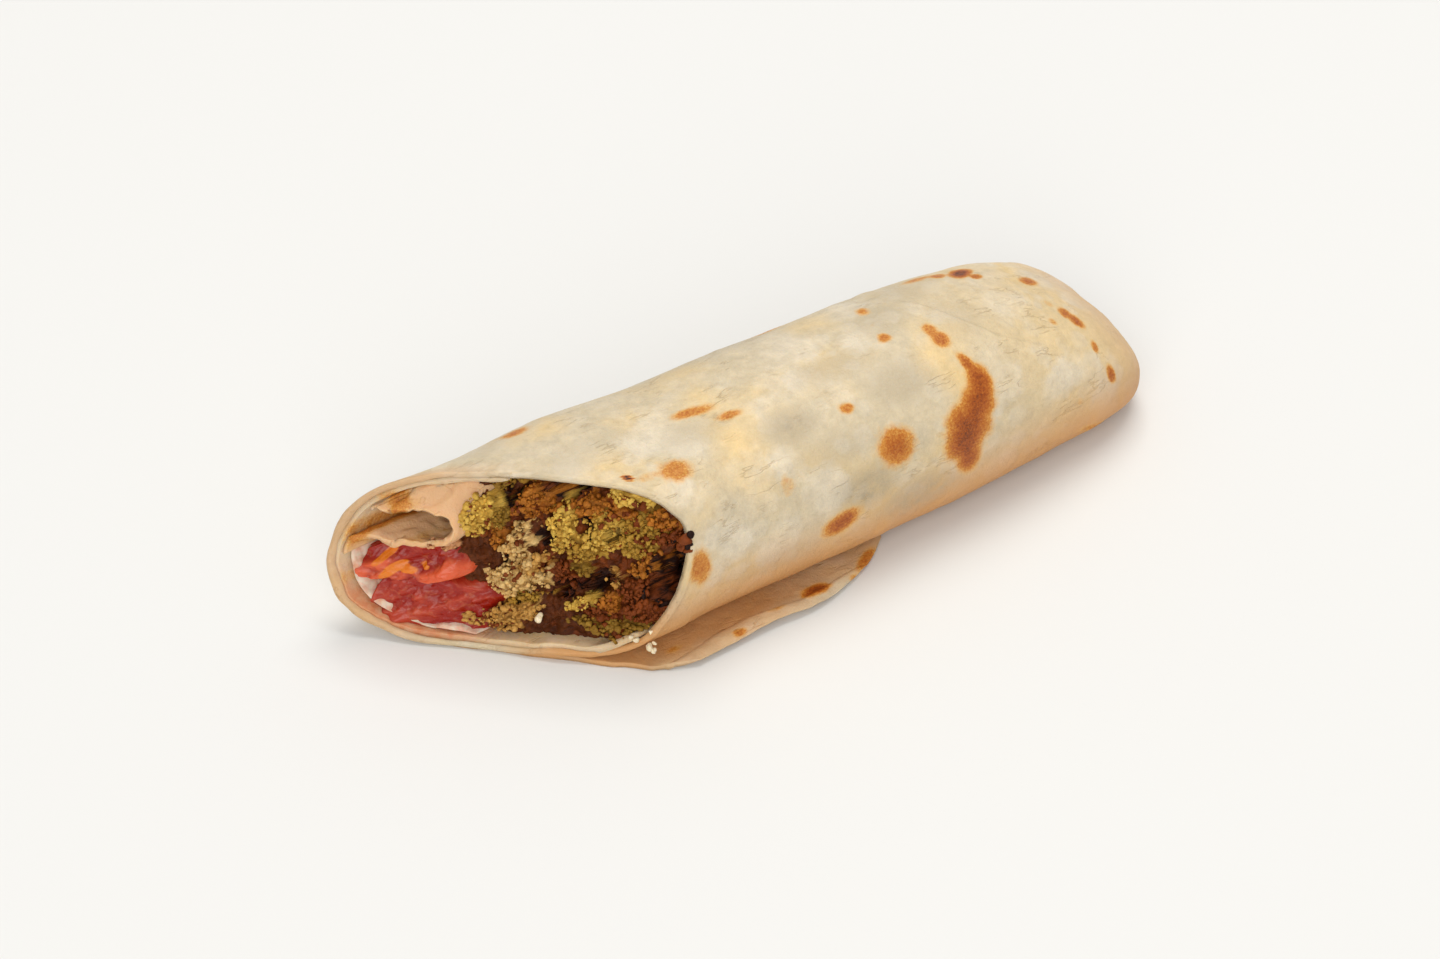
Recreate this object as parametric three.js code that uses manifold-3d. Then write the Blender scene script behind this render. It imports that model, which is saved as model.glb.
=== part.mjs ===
// Half of a falafel wrap: a thin flatbread rolled once and a half round crushed falafel and tomato,
// folded shut at its tail and cut open at a slant at the other end.
//
// Millimetres. +X runs along the roll from the cut to the closed tail, +Z is up, and the wrap lies
// on z = 0. The loose outer end of the bread lies flat under the roll and sticks out on its -Y side.

import * as THREE from 'three';
import { mergeVertices } from 'three/addons/utils/BufferGeometryUtils.js';
import Module from 'manifold-3d';

const wasm = await Module();
wasm.setup();

// The roll before it is cut.
const TAIL_X = 89; // tip of the closed tail
const ROLL_START_X = -108; // runs on past the cut, and the knife takes the rest off
const WIDE = 25.4; // half width at the cut
const WIDTH_LOSS = 3.0; // how much narrower a half width is at the tail's shoulder
const SHOULDER_X = 54; // the width starts to round in here
const WIDTH_LATE = 5.2; // how long the width stays full past the shoulder
const WIDTH_BLUNT = 2.8; // how bluntly it then ends
const TOP_FALL_X = 14; // the height starts to fall here
const TOP_LATE = 2.3;
const TOP_BLUNT = 2.4;
const TALL = 20.0; // half height
const TAIL_TIP_Z = 8.0; // height of the folded tip
const FLATTEN = 0.6; // how far the roll settles into its flat underside
const AXIS_Y = 1.6; // the axis at the cut
const BOW = 3.0; // how far the axis bows to -Y between the ends
const BOW_FROM_X = -60.6;
const BOW_LENGTH = 176;
const TAIL_LEAN = 2.0; // how far the tip leans to -Y
const LUMP = 0.35; // rise of the bread over each ball of falafel
const LUMP_PITCH = 41; // one ball of falafel

// The bread.
const SINGLE_WALL = 1.3; // top and -Y side: one thickness
const DOUBLE_WALL = 3.2; // +Y side and underside: the sheet overlaps itself
const FLOOR = 2.4; // bread under the filling
const POCKET_END_X = 80; // the pocket's blind end, inside the folded tail
const FLAP_EDGE_Y = -27.3; // free edge of the loose end
const FLAP_ROOT_Y = -10; // hidden inside the wall
const FLAP_THICK = 1.7;
const FLAP_RETREAT_X = -3; // from here the flap's edge runs back under the roll
const FLAP_RETREAT = 9; // how far back it has run at its end
const FLAP_CORNER_X = -31; // from here to the cut its corner is rounded off
const FLAP_CORNER = 2.5;
const FLAP_END_X = 17;
const CURL_THICK = 1.5; // the sheet's inner end, turned into the pocket
const CURL_END_X = 12;

// The knife's plane is x = CUT_X - CUT_SLANT * y + CUT_LEAN * z.
const CUT_X = -67.3;
const CUT_SLANT = 1.0;
const CUT_LEAN = 0.4;

// The filling.
const GAP = 0.35; // clearance between neighbours
const CRUMBLE = 0.9; // relief of the torn filling at the cut

const FACETS = {
  breadRound: 48,
  breadLong: 24,
  pocketRound: 32,
  pocketLong: 14,
  flapRound: 14,
  flapLong: 24,
  stripHalf: 12,
  stripLong: 8,
  chunkRound: 18,
  chunkLong: 10,
  tornAcross: 20,
  tornUp: 16,
};

const clamp01 = (v) => Math.min(Math.max(v, 0), 1);
const signedPower = (v, p) => Math.sign(v) * Math.abs(v) ** p;

/** 1 up to `from`, then rounding down to 0 at `to`; a higher `late` keeps it full for longer. */
function roundOff(x, from, to, late, blunt) {
  const u = clamp01((x - from) / (to - from));
  return (1 - u ** late) ** (1 / blunt);
}

/** Half width, half height and centre of the roll at x. */
function rollAt(x) {
  const along = clamp01((x - ROLL_START_X) / (TAIL_X - ROLL_START_X));
  const lump = LUMP * Math.cos((2 * Math.PI * x) / LUMP_PITCH) * (1 - along);
  const taper = WIDE - WIDTH_LOSS * ((x - CUT_X) / (SHOULDER_X - CUT_X));
  const a = taper * roundOff(x, SHOULDER_X, TAIL_X, WIDTH_LATE, WIDTH_BLUNT) + lump;
  const b = TALL * roundOff(x, TOP_FALL_X, TAIL_X, TOP_LATE, TOP_BLUNT) + lump;
  const tip = clamp01((x - SHOULDER_X) / (TAIL_X - SHOULDER_X));
  const bow = Math.sin((Math.PI * (x - BOW_FROM_X)) / BOW_LENGTH) ** 2;
  const y = AXIS_Y - BOW * bow - TAIL_LEAN * tip ** 6;
  const z = (b ** 4 + TAIL_TIP_Z ** 4) ** 0.25;
  return { a, b, y, z };
}

/** A superellipse round the roll, squarer low on the -Y side, drawn in by `inset` (a function). */
function rollSection(x, angle, inset) {
  const roll = rollAt(x);
  const c = Math.cos(angle);
  const s = Math.sin(angle);
  const square = 2 * Math.max(-s, 0) * Math.max(-c, 0);
  const power = 2 / (2.35 + square);
  const y = roll.y + (roll.a - inset(angle)) * signedPower(c, power);
  const z = roll.z + (roll.b - inset(angle)) * signedPower(s, power) - FLATTEN;
  return [y, z];
}

/** A closed solid through rings along X. `point(x, angle)` gives [y, z]; both ends are flat caps. */
function loft(xs, facets, point) {
  const vertices = [];
  const triangles = [];
  for (const x of xs) {
    for (let j = 0; j < facets; j++) {
      vertices.push(x, ...point(x, (2 * Math.PI * j) / facets));
    }
  }
  for (let i = 0; i + 1 < xs.length; i++) {
    for (let j = 0; j < facets; j++) {
      const k = (j + 1) % facets;
      const [p, q, r, s] = [i * facets + j, i * facets + k, (i + 1) * facets + j, (i + 1) * facets + k];
      triangles.push(p, q, r, q, s, r);
    }
  }
  for (const [ring, flip] of [[0, true], [xs.length - 1, false]]) {
    const first = ring * facets;
    const centre = [0, 1, 2].map((axis) => {
      const values = Array.from({ length: facets }, (_, j) => vertices[3 * (first + j) + axis]);
      return values.reduce((sum, v) => sum + v, 0) / facets;
    });
    const hub = vertices.length / 3;
    vertices.push(...centre);
    for (let j = 0; j < facets; j++) {
      const k = (j + 1) % facets;
      triangles.push(hub, first + (flip ? k : j), first + (flip ? j : k));
    }
  }
  const geometry = new THREE.BufferGeometry();
  geometry.setAttribute('position', new THREE.Float32BufferAttribute(vertices, 3));
  geometry.setIndex(triangles);
  return solidOf(geometry);
}

/** Evenly spread stations, closer together towards `to` the higher `crowd` is. */
function stations(from, to, count, crowd = 1) {
  return Array.from({ length: count + 1 }, (_, i) => from + (to - from) * (1 - (1 - i / count) ** crowd));
}

function solidOf(geometry) {
  const bare = geometry.clone();
  bare.deleteAttribute('normal');
  bare.deleteAttribute('uv');
  const merged = mergeVertices(bare);
  const vertProperties = new Float32Array(merged.attributes.position.array);
  const triVerts = new Uint32Array(merged.index.array);
  return new wasm.Manifold(new wasm.Mesh({ numProp: 3, vertProperties, triVerts }));
}

function geometryOf(solid) {
  const mesh = solid.getMesh();
  const geometry = new THREE.BufferGeometry();
  geometry.setAttribute('position', new THREE.BufferAttribute(mesh.vertProperties, 3));
  geometry.setIndex(new THREE.BufferAttribute(mesh.triVerts, 1));
  return geometry;
}

/** Everything on the open side of the knife's plane, as a block, moved `depth` into the roll. */
function knife(depth = 0) {
  const size = 260;
  const block = new THREE.BoxGeometry(size, size, size);
  const intoRoll = new THREE.Vector3(1, CUT_SLANT, -CUT_LEAN).normalize();
  block.translate(depth - size / 2, 0, 0);
  block.applyQuaternion(new THREE.Quaternion().setFromUnitVectors(new THREE.Vector3(1, 0, 0), intoRoll));
  block.translate(CUT_X, 0, 0);
  return solidOf(block);
}

/** How thick the wall is round the roll: doubled under it and up the +Y side, single elsewhere. */
function wall(angle) {
  const fromLap = Math.cos(angle + Math.PI / 4); // 1 low on the +Y side
  const doubled = clamp01((fromLap + 0.75) / 0.5);
  return SINGLE_WALL + (DOUBLE_WALL - SINGLE_WALL) * doubled;
}

/** The rolled sheet's outside, shut at the tail and flat underneath. */
function outerRoll() {
  const xs = stations(ROLL_START_X, TAIL_X - 0.05, FACETS.breadLong, 1.9);
  return loft(xs, FACETS.breadRound, (x, angle) => {
    const [y, z] = rollSection(x, angle, () => 0);
    return [y, Math.max(z, 0)];
  });
}

/** The hollow inside the bread, `clear` smaller all round so that the filling can use it too. */
function pocket(clear) {
  const end = POCKET_END_X - clear;
  const xs = stations(ROLL_START_X - 1, end - 0.05, FACETS.pocketLong, 1.6);
  return loft(xs, FACETS.pocketRound, (x, angle) => {
    const roll = rollAt(x);
    const full = roundOff(x, SHOULDER_X, end, 3, 2);
    const [y, z] = rollSection(x, angle, (t) => wall(t) + clear);
    return [roll.y + (y - roll.y) * full, Math.max(roll.z + (z - roll.z) * full, FLOOR + clear)];
  });
}

/** The sheet's loose outer end: a thin tongue flat on the board, its edge wavy. */
function flap() {
  const xs = stations(ROLL_START_X, FLAP_END_X, FACETS.flapLong);
  return loft(xs, FACETS.flapRound, (x, angle) => {
    const retreat = clamp01((x - FLAP_RETREAT_X) / (FLAP_END_X - FLAP_RETREAT_X));
    const wave = 0.6 * Math.sin(x / 6.1) + 0.35 * Math.sin(x / 2.7 + 1);
    const corner = clamp01((FLAP_CORNER_X - x) / 12);
    const edge = FLAP_EDGE_Y + wave + FLAP_RETREAT * retreat ** 1.8 + FLAP_CORNER * corner ** 1.5;
    const half = (FLAP_ROOT_Y - edge) / 2;
    const y = edge + half + half * signedPower(Math.cos(angle), 0.6);
    const thick = FLAP_THICK * (1 + 0.35 * Math.cos(angle));
    return [y, Math.max((thick / 2) * (1 + 1.15 * signedPower(Math.sin(angle), 0.6)), 0)];
  });
}

/** A strip of sheet that follows a path across the roll, in shares of its half width and height. */
function strip(path, thick, fromX, toX) {
  const line = new THREE.SplineCurve(path.map(([p, q]) => new THREE.Vector2(p, q)));
  const steps = FACETS.stripHalf;
  const corners = 2 * steps + 2;
  return loft(stations(fromX, toX, FACETS.stripLong), corners, (x, angle) => {
    const roll = rollAt(x);
    const place = Math.round((angle / (2 * Math.PI)) * corners);
    const outward = place <= steps;
    const share = (outward ? place : 2 * steps + 1 - place) / steps;
    const at = line.getPoint(share);
    const way = line.getTangent(share);
    const side = (outward ? -1 : 1) * (thick / 2);
    return [roll.y + roll.a * at.x - side * way.y, roll.z + roll.b * at.y + side * way.x];
  });
}

/** The sheet's inner end: it leaves the +Y wall, turns back over itself and lies against the wall again. */
function curl(clear) {
  const path = [[0.94, 0.02], [0.84, 0.2], [0.66, 0.08], [0.48, 0.11], [0.4, 0.24], [0.5, 0.37], [0.68, 0.38]];
  return strip(path, CURL_THICK + 2 * clear, ROLL_START_X + 2, CURL_END_X + clear);
}

/** A long uneven lump of filling, grown all round by `grow`. */
function chunk({ at, size, power, twist, phase, end }, grow) {
  const xs = stations(ROLL_START_X + 1, end + grow, FACETS.chunkLong);
  return loft(xs, FACETS.chunkRound, (x, angle) => {
    const roll = rollAt(x);
    const turn = twist + 0.12 * Math.sin(x / 17 + phase);
    const uneven = 1 + 0.05 * Math.sin(3 * angle + phase + x / 13) + 0.04 * Math.sin(5 * angle - x / 7);
    const c = signedPower(Math.cos(angle), 2 / power) * (roll.a * size[0] * uneven + grow);
    const s = signedPower(Math.sin(angle), 2 / power) * (roll.b * size[1] * uneven + grow);
    const y = roll.y + roll.a * at[0] + c * Math.cos(turn) - s * Math.sin(turn);
    const z = roll.z + roll.b * at[1] + c * Math.sin(turn) + s * Math.cos(turn);
    return [y, z];
  });
}

/** What the knife tore out of the filling: a block on the open side with a crumbly face. */
function tornFront() {
  const [yMin, yMax, zMin, zMax, deep] = [-32, 34, -6, 48, 130];
  const { tornAcross, tornUp } = FACETS;
  const face = new THREE.BoxGeometry(yMax - yMin, zMax - zMin, deep, tornAcross, tornUp, 1);
  face.translate((yMin + yMax) / 2, (zMin + zMax) / 2, -deep / 2);
  const spot = face.attributes.position;
  for (let i = 0; i < spot.count; i++) {
    const [y, z, depth] = [spot.getX(i), spot.getY(i), spot.getZ(i)];
    const coarse = Math.sin(y / 3.1 + 1) * Math.sin(z / 2.7) + 0.6 * Math.sin(y / 1.7 + z / 2.3);
    const torn = depth === 0 ? CRUMBLE * (1 + coarse) : depth;
    spot.setXYZ(i, CUT_X - CUT_SLANT * y + CUT_LEAN * z + torn, y, z);
  }
  return solidOf(face);
}

// The lumps of filling, in the order in which they take their room. A lump's centre and radii are
// shares of the roll's half width and height, and it runs from the cut to x = end.
const CHUNKS = {
  tomato_lower: { at: [0.36, -0.55], size: [0.36, 0.27], power: 3, twist: 0.1, phase: 0, end: 44 },
  tomato_upper: { at: [0.55, -0.17], size: [0.29, 0.2], power: 3, twist: -0.1, phase: 2, end: 30 },
  falafel_middle: { at: [0.1, -0.22], size: [0.31, 0.72], power: 2.6, twist: 0, phase: 1, end: 62 },
  falafel_upper_far: { at: [0.18, 0.66], size: [0.42, 0.36], power: 2.6, twist: 0.05, phase: 4, end: 66 },
  falafel_upper_near: { at: [-0.52, 0.33], size: [0.5, 0.62], power: 2.8, twist: 0, phase: 3, end: 76 },
  falafel_lower_near: { at: [-0.5, -0.52], size: [0.55, 0.5], power: 2.8, twist: 0, phase: 5, end: 70 },
};

const MATERIALS = {
  bread: new THREE.MeshStandardMaterial({ color: '#e6dcc3', roughness: 0.75, metalness: 0 }),
  falafel: new THREE.MeshStandardMaterial({ color: '#a07a3a', roughness: 0.9, metalness: 0 }),
  tomato: new THREE.MeshStandardMaterial({ color: '#c04038', roughness: 0.35, metalness: 0 }),
};

function meshOf(name, solid, material) {
  const mesh = new THREE.Mesh(geometryOf(solid), material);
  mesh.name = name;
  return mesh;
}

function flatbread() {
  const wrapped = outerRoll().add(flap());
  const hollow = wrapped.subtract(pocket(0));
  return hollow.add(curl(0).intersect(pocket(-1))).subtract(knife());
}

/** Each lump fills the pocket where it lies, less the curl and the lumps made before it. */
function filling() {
  const room = pocket(GAP).subtract(curl(GAP)).subtract(tornFront());
  const meshes = [];
  let taken = null;
  for (const [name, lump] of Object.entries(CHUNKS)) {
    const free = taken ? room.subtract(taken) : room;
    const kind = name.split('_')[0];
    meshes.push(meshOf(name, chunk(lump, 0).intersect(free), MATERIALS[kind]));
    const claimed = chunk(lump, GAP);
    taken = taken ? taken.add(claimed) : claimed;
  }
  return meshes;
}

const wrap = new THREE.Group();
wrap.add(meshOf('flatbread', flatbread(), MATERIALS.bread));
wrap.add(...filling());

export default wrap;
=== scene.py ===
"""Half of a falafel wrap, cut at a slant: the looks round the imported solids.

Lengths are in millimetres until piece() turns them to metres. +X runs from the cut to the folded
tail, -Y is the side with the loose end of the bread, and the wrap lies on z = 0. A place on the
bread is given by x and by `way`, how far it lies round the skin from the ridge towards -Y.
"""

import bpy
import numpy as np
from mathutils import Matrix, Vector


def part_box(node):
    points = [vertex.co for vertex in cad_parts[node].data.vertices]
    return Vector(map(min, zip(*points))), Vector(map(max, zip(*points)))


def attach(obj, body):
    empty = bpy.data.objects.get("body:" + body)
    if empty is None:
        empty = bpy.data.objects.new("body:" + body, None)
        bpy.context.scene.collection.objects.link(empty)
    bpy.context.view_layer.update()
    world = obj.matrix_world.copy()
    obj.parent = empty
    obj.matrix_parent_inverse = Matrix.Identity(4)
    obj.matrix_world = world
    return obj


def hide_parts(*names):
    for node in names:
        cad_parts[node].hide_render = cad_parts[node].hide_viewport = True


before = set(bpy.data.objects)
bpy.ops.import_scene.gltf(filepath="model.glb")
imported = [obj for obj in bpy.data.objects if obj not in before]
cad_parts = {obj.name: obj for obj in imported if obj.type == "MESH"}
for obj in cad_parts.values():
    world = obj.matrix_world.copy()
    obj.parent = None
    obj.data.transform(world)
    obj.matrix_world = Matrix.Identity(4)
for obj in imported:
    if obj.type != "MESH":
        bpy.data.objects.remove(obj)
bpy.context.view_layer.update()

MM = 0.001
bread_high = np.array(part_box("flatbread")[1]) / MM

# The roll, as in the solids.
TAIL_X = bread_high[0] + 0.05
ROLL_START_X = -108.0
WIDE = 25.4
WIDTH_LOSS = 3.0
SHOULDER_X = 54.0
WIDTH_LATE, WIDTH_BLUNT = 5.2, 2.8
TALL = 20.0
TOP_FALL_X = 14.0
TOP_LATE, TOP_BLUNT = 2.3, 2.4
TAIL_TIP_Z = 8.0
FLATTEN = 0.6
AXIS_Y = 1.6
BOW, BOW_FROM_X, BOW_LENGTH = 3.0, -60.6, 176.0
TAIL_LEAN = 2.0
LUMP, LUMP_PITCH = 0.35, 41.0
CUT_X, CUT_SLANT, CUT_LEAN = -67.3, 1.0, 0.4
SECTION_POWER = 2.35

# Near the cut the filling pushes the -Y side out by PUSH, and squares it high up. These are the
# distances before x = 0 where that starts and where it is whole. It starts nearer the cut for the
# filling itself, so that it stays behind the bread.
PUSH, HIGH_SQUARE, INNER_SQUARE = 0.8, 0.8, 0.7
PUSH_SPAN = 12, 36
INNER_PUSH_SPAN = 17, 38

# The bread and its loose end.
SHEET = 1.15
FLAP_EDGE_Y = -27.5
FLAP_ROOT_Y = 6.0
FLAP_RETREAT_X, FLAP_RETREAT, FLAP_END_X = -3.0, 9.0, 17.0
FLAP_CORNER_Y, FLAP_CORNER = -23.5, 5.0


# ---------------------------------------------------------------- numbers

def smooth(value, start, end):
    """0 before start, 1 past end, an S-shaped rise between."""
    share = np.clip((value - start) / (end - start), 0, 1)
    return share * share * (3 - 2 * share)


def signed_power(value, power):
    """The value's size raised to a power, with its sign kept."""
    return np.sign(value) * np.abs(value) ** power


BITS = 0x7FFFFFFF


def scramble(cell, seed):
    """A number from 0 to 1 for each whole-numbered cell, by multiplying and folding its bits."""
    i = cell.astype(np.int64)
    mixed = i[..., 0] * 374761393 + i[..., 1] * 668265263 + i[..., 2] * 961748941 + seed * 1274126177
    mixed = mixed & BITS
    mixed = ((mixed ^ (mixed >> 13)) * 1103515245) & BITS
    return (mixed ^ (mixed >> 16)) / BITS


def noise(points, size, seed=0, octaves=1):
    """Smooth noise from about -1 to 1: cell corners hold scrambled numbers, blended between by
    S-curves, and each octave has half the size and half the strength of the one before."""
    total, reach = 0.0, 0.0
    for octave in range(octaves):
        spot = points * (2**octave / size)
        base = np.floor(spot)
        part = spot - base
        part = part * part * (3 - 2 * part)
        value = 0.0
        for corner in np.ndindex(2, 2, 2):
            weight = np.prod(np.where(np.array(corner) == 1, part, 1 - part), axis=-1)
            value = value + weight * scramble(base + np.array(corner), seed + octave)
        total = total + (2 * value - 1) * 0.5**octave
        reach += 0.5**octave
    return total / reach


def pebbles(points, size, seed):
    """Height of a bed of balls over each point, in shares of `size`, and the middle and the random
    number of the ball that is highest there. Each cell of side `size` holds one ball, put anywhere in
    it; a ball's height is its radius less the square of the distance over the radius."""
    spot = points / size
    base = np.floor(spot)
    height = np.full(spot.shape[:-1], -9.0)
    middle = np.zeros(spot.shape)
    number = np.zeros(spot.shape[:-1])
    for step in np.ndindex(3, 3, 3):
        cell = base + np.array(step) - 1
        centre = cell + np.stack([scramble(cell, seed + axis) for axis in range(3)], -1)
        own = scramble(cell, seed + 3)
        radius = 0.42 + 0.42 * own
        rise = radius - ((spot - centre) ** 2).sum(-1) / radius
        higher = rise > height
        height = np.where(higher, rise, height)
        number = np.where(higher, scramble(cell, seed + 4), number)
        middle = np.where(higher[..., None], centre * size, middle)
    return height, middle, number


# ---------------------------------------------------------------- meshes

def ring_faces(rows, columns):
    """Quads between rings of points, facing out where x grows with the row and the angle with the
    column, and a fan to a pole at the middle of each end ring."""
    i, j = np.meshgrid(np.arange(rows - 1), np.arange(columns), indexing="ij")
    k = (j + 1) % columns
    quads = np.stack([i * columns + j, i * columns + k, (i + 1) * columns + k, (i + 1) * columns + j], -1)
    j = np.arange(columns)
    k = (j + 1) % columns
    first, last = rows * columns, rows * columns + 1
    end = (rows - 1) * columns
    near = np.stack([np.full(columns, first), k, j], -1)
    far = np.stack([np.full(columns, last), end + j, end + k], -1)
    return quads.reshape(-1, 4).tolist() + near.tolist() + far.tolist()


def with_poles(rings):
    """The rings' points in one row, followed by the middle of the first ring and of the last."""
    return np.concatenate([rings.reshape(-1, rings.shape[-1]), rings[[0, -1]].mean(axis=1)])


def surface_normals(grid, around=True):
    """Unit normals of a grid of points, facing out as in ring_faces; `around` joins the columns."""
    if around:
        across = np.roll(grid, -1, axis=1) - np.roll(grid, 1, axis=1)
    else:
        across = np.gradient(grid, axis=1)
    normal = np.cross(across, np.gradient(grid, axis=0))
    return normal / (np.linalg.norm(normal, axis=-1, keepdims=True) + 1e-9)


def sheet_strip(middle, thick):
    """A strip of sheet round a grid of middle points: each ring runs along one side and back along
    the other, half the thickness off, and a ladder of quads closes each end."""
    rows, count = middle.shape[:2]
    edge = np.minimum(np.arange(count), np.arange(count)[::-1])
    half = thick / 2 * np.clip(0.35 + 0.3 * edge, 0, 1)[None, :, None]
    normal = surface_normals(middle, around=False)
    rings = np.concatenate([middle + normal * half, (middle - normal * half)[:, ::-1]], axis=1)
    tube = [face for face in ring_faces(rows, 2 * count) if len(face) == 4]
    j = np.arange(count - 1)
    rungs = np.stack([j + 1, j, 2 * count - 1 - j, 2 * count - 2 - j], -1)
    far = rungs[:, ::-1] + (rows - 1) * 2 * count
    return rings, tube + rungs.tolist() + far.tolist()


def piece(name, points, faces, material, slot, replaced=(), **attributes):
    """A smooth mesh object from points in millimetres, with a number or a colour at each point. It
    rides on the part's one body and stands for the solids named in `replaced`."""
    mesh = bpy.data.meshes.new(name)
    mesh.from_pydata((points * MM).tolist(), [], faces)
    mesh.shade_smooth()
    for label, values in attributes.items():
        kind, field = ("FLOAT_COLOR", "color") if values.ndim == 2 else ("FLOAT", "value")
        layer = mesh.attributes.new(label, kind, "POINT")
        layer.data.foreach_set(field, values.astype(np.float32).ravel())
    mesh.materials.append(material)
    thing = bpy.data.objects.new(name, mesh)
    bpy.context.scene.collection.objects.link(thing)
    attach(thing, "root")
    for node in replaced:
        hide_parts(node)
    return thing


def balls(centres, radii, rows, columns, rough, seed):
    """Many small uneven balls as one mesh: a ball's points are its centre plus its radius times a
    direction, times one plus noise at that direction. Returns points, faces and each point's ball."""
    turn = np.linspace(0, 2 * np.pi, columns, endpoint=False)
    rise = np.linspace(-np.pi / 2, np.pi / 2, rows + 2)[1:-1]
    rise, turn = np.meshgrid(rise, turn, indexing="ij")
    way = np.stack([np.sin(rise), np.cos(rise) * np.cos(turn), np.cos(rise) * np.sin(turn)], -1)
    way = with_poles(way)
    way[-2:] = [[-1, 0, 0], [1, 0, 0]]
    count, each = len(centres), len(way)
    apart = np.arange(count)[:, None, None] * np.array([7.3, 3.1, 5.7])
    swell = 1 + rough * noise(way[None] * 0.9 + apart, 1.0, seed)
    points = centres[:, None, :] + way[None] * radii[:, None, None] * swell[..., None]
    one = ring_faces(rows, columns)
    quads = np.array([face for face in one if len(face) == 4])
    fans = np.array([face for face in one if len(face) == 3])
    shift = np.arange(count)[:, None, None] * each
    faces = (quads[None] + shift).reshape(-1, 4).tolist() + (fans[None] + shift).reshape(-1, 3).tolist()
    return points.reshape(-1, 3), faces, np.repeat(np.arange(count), each)


# ---------------------------------------------------------------- materials

def linear(code):
    """An sRGB hex colour as linear red, green, blue and 1."""
    parts = np.array([int(code[i : i + 2], 16) for i in (1, 3, 5)]) / 255
    return (*np.where(parts <= 0.04045, parts / 12.92, ((parts + 0.055) / 1.055) ** 2.4), 1.0)


def add(tree, kind, links=(), out=0, stops=(), **settings):
    """Adds a shader node and gives one of its outputs. `links` are its inputs, in order or by number
    or name, each a value or another node's output. `stops` are a colour ramp's places and colours,
    and the rest are the node's own settings."""
    node = tree.nodes.new("ShaderNode" + kind)
    for key, value in settings.items():
        setattr(node, key, value)
    inputs = links if isinstance(links, dict) else dict(enumerate(links))
    for socket, source in inputs.items():
        if isinstance(source, bpy.types.NodeSocket):
            tree.links.new(source, node.inputs[socket])
        else:
            node.inputs[socket].default_value = source
    if stops:
        marks = node.color_ramp.elements
        while len(marks) < len(stops):
            marks.new(0.5)
        for mark, (place, colour) in zip(marks, stops):
            mark.position = place
            mark.color = linear(colour)
    return node.outputs[out]


def per_metre(size_mm):
    """A texture's scale for a pattern of that size, as its coordinates are in metres."""
    return 1 / (size_mm * MM)


def new_material(name):
    """A material, its node tree, its Principled shader and the object's own coordinates in it."""
    material = bpy.data.materials.new(name)
    material.use_nodes = True
    tree = material.node_tree
    place = add(tree, "TexCoord", out="Object")
    return material, tree, tree.nodes["Principled BSDF"], place


# A colour mix node's inputs and output, by number, as several of them share a name.
MIX_FACTOR, MIX_A, MIX_B, MIX_OUT = 0, 6, 7, 2


def layered(tree, colour, layers):
    """A colour with others laid over it in turn, each as strongly as its factor says."""
    for factor, over in layers:
        sockets = {MIX_FACTOR: factor, MIX_A: colour, MIX_B: over}
        colour = add(tree, "Mix", sockets, MIX_OUT, data_type="RGBA")
    return colour


CREAM, FLOUR, STRAW, VEIL = "#CCBC9E", "#DACDB6", "#DDC18E", "#A3957E"
# The second colour is painted shade along the bread's creases.
STAIN, CREASE_SHADE = "#C98258", "#A58A62"
TOASTING = [
    (0.06, "#DDAE62"), (0.24, "#CB8A3A"), (0.44, "#B66A22"),
    (0.64, "#A04E10"), (0.84, "#74360A"), (1.0, "#3A1A08"),
]
GRAIN_MM, FINE_MM, SPECK_MM, WRINKLE_MM, BEND_MM = 0.5, 1.3, 2.4, 3.4, 5
SMALL_PATCH_MM, CREASED_MM, BIG_PATCH_MM, FLOURY_MM, STRAW_MM = 5.2, 9, 11, 16, 20


def floury_patches(tree, place, size_mm, fray):
    """Round patches about that far apart, 1 in their middles, with frayed rims."""
    links = {"Vector": place, "Scale": per_metre(size_mm), "Smoothness": 0.5}
    cells = add(tree, "TexVoronoi", links, feature="SMOOTH_F1")
    frayed = add(tree, "Math", [fray, 0.22, cells], operation="MULTIPLY_ADD")
    return add(tree, "MapRange", [frayed, 0.6, 0.44])


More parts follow.
